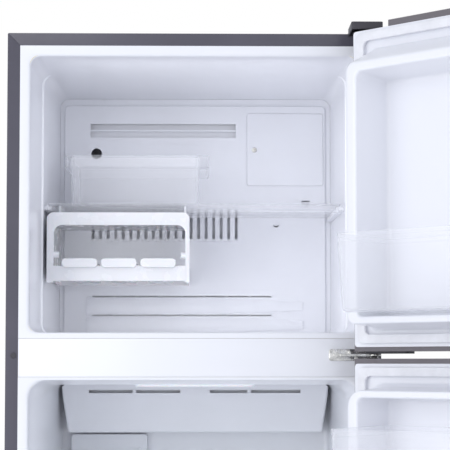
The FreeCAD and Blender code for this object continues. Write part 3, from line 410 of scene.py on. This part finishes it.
def lofted(stations, place, cap_first=False, cap_last=False, steps=7):
    """Vertices and faces of a skin through the outlines of the stations."""
    vertices, faces = [], []
    for a0, a1, b0, b1, radius, depth in stations:
        limit = 0.49 * min(a1 - a0, b1 - b0)
        for a, b in outline(a0, a1, b0, b1, min(radius, limit), steps):
            vertices.append(place(a, b, depth))
    around = 4 * (steps + 1)
    for row in range(len(stations) - 1):
        for index in range(around):
            nxt = (index + 1) % around
            faces.append((
                row * around + index,
                row * around + nxt,
                (row + 1) * around + nxt,
                (row + 1) * around + index,
            ))
    if cap_first:
        faces.append(tuple(range(around)))
    if cap_last:
        last = (len(stations) - 1) * around
        faces.append(tuple(last + index for index in reversed(range(around))))
    return vertices, faces


def facing_front(x, z, y):
    """Places an outline drawn across the cabinet's mouth."""
    return Vector((x, y, z))


def lying_flat(x, y, z):
    """Places an outline drawn on a level plane."""
    return Vector((x, y, z))


SWING = (
    Matrix.Translation(HINGE)
    @ Matrix.Rotation(math.radians(DOOR_OPEN), 4, "Z")
    @ Matrix.Translation(-HINGE)
)


def on_door(x, z, y):
    """Places an outline drawn across the closed door, on the open door."""
    return SWING @ Vector((x, y, z))


def flat_on_door(x, y, z):
    """Places a level outline drawn on the closed door, on the open door."""
    return SWING @ Vector((x, y, z))


def joined(*meshes):
    """Several (vertices, faces) lists as one."""
    vertices, faces = [], []
    for more_vertices, more_faces in meshes:
        start = len(vertices)
        vertices += more_vertices
        faces += [tuple(start + index for index in face) for face in more_faces]
    return vertices, faces


def ledge(x, y, z, radius=2.0):
    """A rounded bar along Y, for shelf ledges."""
    stations = softly([
        (x[0] + radius, x[1] - radius, z[0] + radius, z[1] - radius, 0.5, y[0]),
        (x[0], x[1], z[0], z[1], radius, y[0] + radius, radius),
        (x[0], x[1], z[0], z[1], radius, y[1] - radius, radius),
        (x[0] + radius, x[1] - radius, z[0] + radius, z[1] - radius, 0.5, y[1]),
    ])
    return lofted(stations, facing_front, True, True, 3)


# ---- Camera, light and floor ----


def add_camera():
    """The photograph's viewpoint: far off, level with the band between the compartments."""
    camera = bpy.data.objects.new("camera", bpy.data.cameras.new("camera"))
    camera.data.sensor_width = 36.0
    camera.data.lens = 113.7
    camera.data.shift_y = 0.14
    camera.data.clip_end = 60.0
    camera.location = (0.021, -2.960, 1.122)
    yaw, pitch = math.radians(-0.81), math.radians(2.98)
    camera.rotation_euler = (math.pi / 2 + pitch, 0.0, yaw)
    bpy.context.scene.collection.objects.link(camera)
    bpy.context.scene.camera = camera


def add_light(name, location, aim, size, power, gloss):
    """A soft rectangular light."""
    light = bpy.data.lights.new(name, "AREA")
    light.shape = "RECTANGLE"
    light.size, light.size_y = size
    light.energy = power
    light.specular_factor = gloss
    obj = bpy.data.objects.new(name, light)
    obj.location = location
    direction = Vector(aim) - Vector(location)
    obj.rotation_euler = direction.to_track_quat("-Z", "Y").to_euler()
    bpy.context.scene.collection.objects.link(obj)


def add_world():
    """A white backdrop, dimmer as a light source so that the soft boxes can shape the forms."""
    world = bpy.data.worlds.new("studio")
    world.use_nodes = True
    nodes, links = world.node_tree.nodes, world.node_tree.links
    backdrop = nodes["Background"]
    backdrop.inputs["Color"].default_value = (1.0, 1.0, 1.0, 1.0)
    backdrop.inputs["Strength"].default_value = 1.0
    ambient = nodes.new("ShaderNodeBackground")
    ambient.inputs["Color"].default_value = (0.90, 0.93, 1.0, 1.0)
    ambient.inputs["Strength"].default_value = AMBIENT
    seen = nodes.new("ShaderNodeLightPath")
    mix = nodes.new("ShaderNodeMixShader")
    links.new(seen.outputs["Is Camera Ray"], mix.inputs["Fac"])
    links.new(ambient.outputs["Background"], mix.inputs[1])
    links.new(backdrop.outputs["Background"], mix.inputs[2])
    links.new(mix.outputs["Shader"], nodes["World Output"].inputs["Surface"])
    bpy.context.scene.world = world


def add_floor():
    """A pale studio floor with the faintest unevenness."""
    s = Shader("studio_floor").fix(Roughness=0.6)
    s.join(s.spread(s.noise(3.0, 3.0), (0.90, 0.90, 0.905), (0.93, 0.93, 0.935)), "Base Color")
    side = 7.0
    mesh = bpy.data.meshes.new("studio_floor")
    corners = [(-side, -side, 0), (side, -side, 0), (side, side, 0), (-side, side, 0)]
    mesh.from_pydata(corners, [], [(0, 1, 2, 3)])
    mesh.materials.append(s.bump(s.noise(40.0), 0.1, 0.3).material)
    floor = bpy.data.objects.new("studio_floor", mesh)
    bpy.context.scene.collection.objects.link(floor)


# The clear shelf and bins lie several deep along one line of sight.
bpy.context.scene.cycles.transparent_max_bounces = CLEAR_DEPTH
bpy.context.scene.view_settings.view_transform = "Standard"
add_camera()
add_world()
add_floor()
# Name, place, what it points at, size, power and how strongly it shows in reflections. The glows
# stand in for light that bounces about in the compartments.
LIGHTS = (
    ("key", (-1.8, -3.2, 1.7), (0.0, 0.0, 1.1), (2.2, 2.2), 26.5, 1.0),
    ("fill", (1.9, -3.2, 1.3), (0.0, 0.0, 1.1), (2.0, 2.0), 11.0, 1.0),
    ("side", (-2.4, -2.2, 0.8), (0.75, -0.6, 0.9), (1.4, 1.8), 13.0, 1.0),
    ("freezer_glow", (0.0, -0.305, 1.56), (0.0, 0.2, 1.5), (0.5, 0.2), 0.22, 0.2),
    ("freezer_low_glow", (0.0, -0.305, 1.22), (0.0, 0.2, 1.22), (0.5, 0.06), 0.16, 0.2),
    ("freezer_floor_glow", (0.02, -0.12, 1.205), (0.02, 0.2, 1.25), (0.5, 0.03), 0.12, 0.0),
    ("ice_maker_glow", (-0.15, -0.1, 1.375), (-0.15, 0.2, 1.35), (0.2, 0.03), 0.09, 0.0),
    ("fridge_glow", (0.0, -0.305, 0.62), (0.0, 0.2, 0.62), (0.52, 0.8), 0.8, 0.2),
)
for light in LIGHTS:
    add_light(*light)


# ---- Linings of the cabinet ----


def shelf_rails(spans, y, level):
    """The ledges on both sides of a compartment that carry a shelf at a level."""
    return [ledge(x, y, (level - RAIL_FOOT, level - RAIL_TOP)) for x in spans]


def freezer_lining():
    """The freezer's formed lining: flange, step line, drawn-in sides and soft back corners."""
    z0, z1 = FREEZER["z"]
    flange = (MULLION[1] + GAP, CABINET_TOP - STEEL_FLANGE - GAP)

    def at(half, y, corner, reach=0.0, grow=0.0):
        return (-half, half, z0 - grow, z1 + grow, corner, y, reach)

    stations = softly([
        (-LINER_HALF, LINER_HALF, *flange, 0.6, FRONT),
        at(FREEZER["mouth"], FRONT, 20.0, 7.0),
        at(FREEZER["step"], STEP_Y - 1.0, 20.0, 1.5),
        at(FREEZER["rear"], STEP_Y, 20.0, 1.5),
        at(FREEZER["back"], FREEZER["depth"], 20.0, 13.0),
        (-255.0, 255.0, z0 + 38.0, z1 - 38.0, 8.0, FREEZER["depth"]),
    ], 6)
    skin = lofted(stations, facing_front, cap_last=True)
    rails = shelf_rails(((-303.0, -286.0), (286.0, 303.0)), (-116.0, 125.0), SHELF_Z)
    whole = joined(skin, *rails)
    return piece("freezer_lining", *whole, "cabinet", "lining_white", ("freezer_liner",), 40.0)


def fridge_lining():
    """The refrigerator's formed lining, with its sloped ceiling lip and the compressor hump."""
    z0, z1 = FRIDGE["z"]
    stations = softly([
        (-LINER_HALF, LINER_HALF, 75.2, MULLION[0] - GAP, 0.6, FRONT),
        (-FRIDGE["mouth"], FRIDGE["mouth"], z0, FRIDGE["mouth_top"], 34.0, FRONT, 7.0),
        (-FRIDGE["step"], FRIDGE["step"], z0, z1, 34.0, STEP_Y, 3.0),
        (-300.4, 300.4, z0, z1, 22.0, HUMP_FRONT - 1.0, 10.0),
        (-300.2, 300.2, HUMP_TOP, z1, 20.0, HUMP_FRONT + 1.0, 10.0),
        (-FRIDGE["back"], FRIDGE["back"], HUMP_TOP, z1, 16.0, FRIDGE["depth"], 12.0),
        (-262.0, 262.0, HUMP_TOP + 36.0, z1 - 34.0, 8.0, FRIDGE["depth"]),
    ], 6)
    skin = lofted(stations, facing_front, cap_last=True)
    rails = []
    for level in GLASS_LEVELS:
        rails += shelf_rails(((-304.0, -284.0), (284.0, 304.0)), (-98.0, 186.0), level)
    whole = joined(skin, *rails)
    return piece("fridge_lining", *whole, "cabinet", "lining_white", ("fridge_liner",), 40.0)


# ---- Doors ----


def door_lining(prefix, door):
    """The formed lining of a door: plate, raised rim and the sunk middle."""
    foot, neck, crest, recess = door["foot"], door["neck"], door["crest"], door["recess"]
    plate, corner = door["plate"], door["corner"]
    top = DOOR_INNER + DYKE

    def at(low_u, high_u, z, radius, y, reach=0.0):
        return (HALF_W - high_u, HALF_W - low_u, z[0], z[1], radius, y, reach)

    stations = softly([
        at(1.5, 698.5, plate, 6.0, DOOR_INNER - LINER_WALL),
        at(1.5, 698.5, plate, 6.0, DOOR_INNER, 1.2),
        at(36.0, 664.0, foot, corner, DOOR_INNER, 3.0),
        at(46.0, 654.0, neck, corner, DOOR_INNER + 14.0, 5.0),
        at(50.0, 642.0, crest, corner, top, 6.0),
        at(72.0, 624.0, recess, 12.0, top, 6.0),
        at(76.0, 620.0, (recess[0] + 4.0, recess[1] - 4.0), 11.0, DOOR_INNER, 9.0),
        at(110.0, 586.0, (recess[0] + 40.0, recess[1] - 40.0), 5.0, DOOR_INNER),
    ], 6)
    skin = lofted(stations, on_door, cap_last=True)
    return piece(prefix + "_lining", *skin, prefix, "lining_white", (prefix + "_liner",), 40.0)


def door_gasket(prefix, door):
    """The magnetic seal: a clipped foot, a folded bellows and the wide magnet pocket."""
    low, high = door["plate"]

    def at(inset, y, reach=0.0):
        half = 342.0 - inset
        return (-half, half, low + inset, high - inset, 10.0, DOOR_INNER + y, reach)

    profile = [
        at(21.0, 0.0),
        at(21.0, 1.6, 0.5),
        at(18.6, 2.6, 0.7),
        at(20.4, 4.0, 0.7),
        at(22.5, 5.6, 1.2),
        at(22.5, 10.6, 1.4),
        at(16.0, 11.3, 2.0),
        at(6.5, 10.4, 1.4),
        at(6.5, 5.6, 1.2),
        at(10.6, 4.4, 0.7),
        at(12.2, 2.6, 0.7),
        at(10.0, 1.6, 0.5),
        at(10.0, 0.0),
        at(21.0, 0.0),
    ]
    skin = lofted(softly(profile, 3), on_door)
    return piece(prefix + "_seal", *skin, prefix, "seal_white", (prefix + "_gasket",), 50.0)


def balcony(u, z, reach):
    """A clear door bin: leaning front, rounded corners, thick rim and a stiffening step."""
    x = (HALF_W - u[1], HALF_W - u[0])
    back = DOOR_INNER + 4.0
    wall = 2.5

    def at(height, inset, corner=14.0, bend=0.0):
        lean = reach[0] + (reach[1] - reach[0]) * (height - z[0]) / (z[1] - z[0])
        return (
            x[0] + inset, x[1] - inset, back + inset, DOOR_INNER + lean - inset,
            corner, height, bend,
        )

    stations = softly([
        at(z[0], 16.0, 6.0),
        at(z[0], 0.0, 13.0, 7.0),
        at(z[1] - 16.0, 0.0, 14.0, 1.0),
        at(z[1] - 15.0, 0.9, 14.0, 1.0),
        at(z[1] - 9.0, 0.9, 14.0, 1.0),
        at(z[1] - 8.0, 0.0, 14.0, 1.0),
        at(z[1], 0.0, 14.0, 1.1),
        at(z[1], 3.4, 11.0, 1.1),
        at(z[1] - 7.0, 3.4, 11.0, 1.5),
        at(z[1] - 9.0, wall, 11.5, 1.5),
        at(z[0] + wall, wall, 10.5, 6.0),
        at(z[0] + wall, 18.0, 5.0),
    ], 3)
    return lofted(stations, flat_on_door, True, True)


def door_bins():
    """All the doors' bins, as clear balconies: width, heights and how far each reaches in."""
    wide = (78, 608)
    groups = {
        "freezer_door_bin": ("freezer_door", [((78, 618), (1207, 1341), (154, 169))]),
        "fridge_door_bins": (
            "fridge_door",
            [(wide, heights, (178, 190)) for heights in ((905, 1010), (640, 745))],
        ),
        "fridge_bottle_bin": ("fridge_door", [(wide, (142, 330), (176, 190))]),
    }
    for node_name, (body, group) in groups.items():
        whole = joined(*[balcony(*item) for item in group])
        piece(node_name + "_clear", *whole, body, "clear_plastic", (node_name,), 45.0)


# ---- Freezer fittings ----


def ice_storage_tray():
    """The clear tray on the shelf, whose deep rim turns down all round."""
    x, y, z = (-263.0, 30.0), (-94.0, 100.0), (SHELF_Z + SHELF_GLASS, TRAY_TOP)
    body_x = (-253.5, 10.0)
    floor, wall = z[0], 2.4
    lip_foot = TRAY_TOP - 23.0

    def body(height, inset, corner, bend=0.0):
        low = 1.0 - (height - z[0]) / (z[1] - z[0])
        return (
            body_x[0] + 2.5 * low + inset, body_x[1] - 2.5 * low - inset,
            y[0] + 5 + 8 * low + inset, y[1] - 5 - inset,
            corner, height, bend,
        )

    def rim(height, inset, corner, bend=0.0):
        return (x[0] + inset, x[1] - inset, y[0] + inset, y[1] - inset, corner, height, bend)

    stations = softly([
        body(floor, 18.0, 6.0),
        body(floor, 0.0, 14.0, 8.0),
        body(TRAY_TOP - 4.0, 0.2, 12.0, 1.5),
        rim(TRAY_TOP - 3.0, wall, 11.0, 1.5),
        rim(lip_foot, 2.2, 11.0, 0.6),
        rim(lip_foot, 0.0, 12.0, 0.6),
        rim(TRAY_TOP, 0.0, 12.0, 2.5),
        body(TRAY_TOP, wall, 10.0, 2.0),
        body(floor + wall, wall, 12.0, 8.0),
        body(floor + wall, 20.0, 6.0),
    ], 4)
    skin = lofted(stations, lying_flat, True, True)
    piece("ice_box", *skin, "ice_storage_tray", "clear_plastic", ("ice_storage_tray",), 45.0)


def duct_guides():
    """The pale foam guides behind the louvres of the freezer panel and the fridge air duct."""
    thickness = 3.0
    guides = [
        ((-234.0, 93.0), (1626.0, 1645.0), 142.0),
        ((-234.0, 93.0), (1609.0, 1627.0), 138.0),
        ((-234.0, 96.0), (1384.0, 1442.0), 147.0),
        ((-236.0, 180.0), (1256.0, 1272.0), 141.0),
        ((-236.0, 180.0), (1215.0, 1231.0), 141.0),
        ((226.0, 256.0), (1447.0, 1478.0), 141.0),
    ]
    shapes = [ledge_across(x, (y, y + thickness), z) for x, z, y in guides]
    piece("freezer_duct_foam", *joined(*shapes), "cabinet", "panel_white")
    outlets = [
        ledge_across(x, (157.0, 157.0 + thickness), (1050.0, 1066.0))
        for x in ((-236.0, -28.0), (27.0, 234.0))
    ]
    piece("fridge_duct_foam", *joined(*outlets), "cabinet", "panel_white")


def ledge_across(x, y, z):
    """A thin upright plate with rounded rims."""
    stations = softly([
        (x[0] + 1, x[1] - 1, z[0] + 1, z[1] - 1, 1.0, y[0]),
        (x[0], x[1], z[0], z[1], 1.5, y[0] + 1.0, 0.8),
        (x[0], x[1], z[0], z[1], 1.5, y[1] - 1.0, 0.8),
        (x[0] + 1, x[1] - 1, z[0] + 1, z[1] - 1, 1.0, y[1]),
    ])
    return lofted(stations, facing_front, True, True, 3)


freezer_lining()
fridge_lining()
duct_guides()
for prefix, door in (("freezer_door", FREEZER_DOOR), ("fridge_door", FRIDGE_DOOR)):
    door_lining(prefix, door)
    door_gasket(prefix, door)
door_bins()
ice_storage_tray()

SOFT_EDGES = {
    "cabinet_shell": 0.8,
    "mullion_cover": 0.7,
    "ice_maker_frame": 1.3,
    "ice_tray_1": 1.0,
    "ice_tray_2": 1.0,
    "ice_tray_3": 1.0,
    "freezer_shelf": 0.8,
    "freezer_shelf_edge": 1.0,
    "top_hinge": 0.5,
    "middle_hinge": 0.7,
    "bottom_hinge": 0.6,
    "top_hinge_cover": 1.2,
    "freezer_door_end_caps": 1.6,
    "fridge_door_end_caps": 1.6,
    "fridge_control_cover": 0.8,
    "crisper_drawer": 0.9,
    "upper_shelf_edge": 0.8,
    "middle_shelf_edge": 0.8,
    "crisper_cover_edge": 0.8,
    "drip_pan": 0.5,
}
for node_name, width in SOFT_EDGES.items():
    softened(node_name, width)
